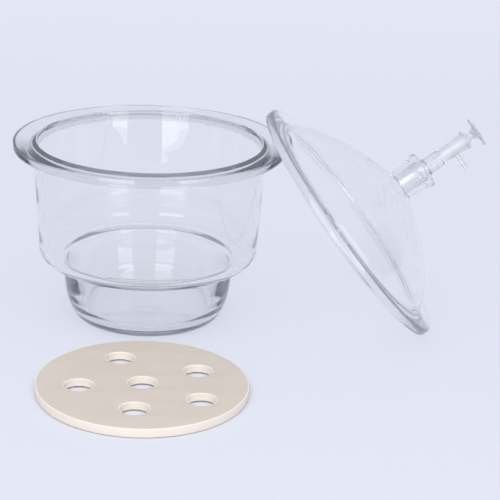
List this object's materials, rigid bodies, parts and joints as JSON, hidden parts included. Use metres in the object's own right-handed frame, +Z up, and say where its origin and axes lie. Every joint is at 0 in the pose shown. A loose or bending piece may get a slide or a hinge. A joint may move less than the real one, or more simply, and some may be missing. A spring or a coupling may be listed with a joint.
{
  "type": "glass desiccator",
  "caption": "Open glass desiccator: stepped jar with a ground flange, domed lid with a turning stopcock leaning on its rim, and a perforated porcelain plate lying in front.",
  "frame": {"origin": "centre of the flat foot of the jar, on the table", "axes": "+Z up along the jar's axis, +X towards the leaning lid and its stopcock, -Y towards the plate that lies in front"},
  "size_m": [0.4799, 0.4416, 0.2223],
  "materials": {
    "jar_glass": "clear polished glass, ground matt sealing face on the flange",
    "lid_glass": "clear polished glass, ground matt flange face and socket",
    "stopcock_glass": "clear glass with a ground matt cone and barrel",
    "key_glass": "clear glass with a ground matt plug",
    "porcelain": "satin cream porcelain"
  },
  "bodies": {
    "jar": {"jar": "jar_glass"},
    "lid": {"lid": "lid_glass"},
    "stopcock_body": {"stopcock_body": "stopcock_glass"},
    "stopcock_key": {"stopcock_key": "key_glass"},
    "plate": {"perforated_plate": "porcelain"}
  },
  "joints": [
    {"name": "lid_lift", "type": "slide", "parent": "jar", "child": "lid", "axis": [0, 0, 1], "range_m": [0, 0.25]},
    {"name": "stopcock_turn", "type": "hinge", "parent": "lid", "child": "stopcock_body", "pos_m": [0.204, -0.004, 0.10741], "axis": [0.7769, 0.0176, 0.6293], "continuous": true},
    {"name": "key_turn", "type": "hinge", "parent": "stopcock_body", "child": "stopcock_key", "pos_m": [0.204, -0.004, 0.10741], "axis": [0.7769, 0.0176, 0.6293], "continuous": true},
    {"name": "plate_lift", "type": "slide", "parent": "jar", "child": "plate", "axis": [0, -0.7071, 0.7071], "range_m": [0, 0.25]}
  ]
}
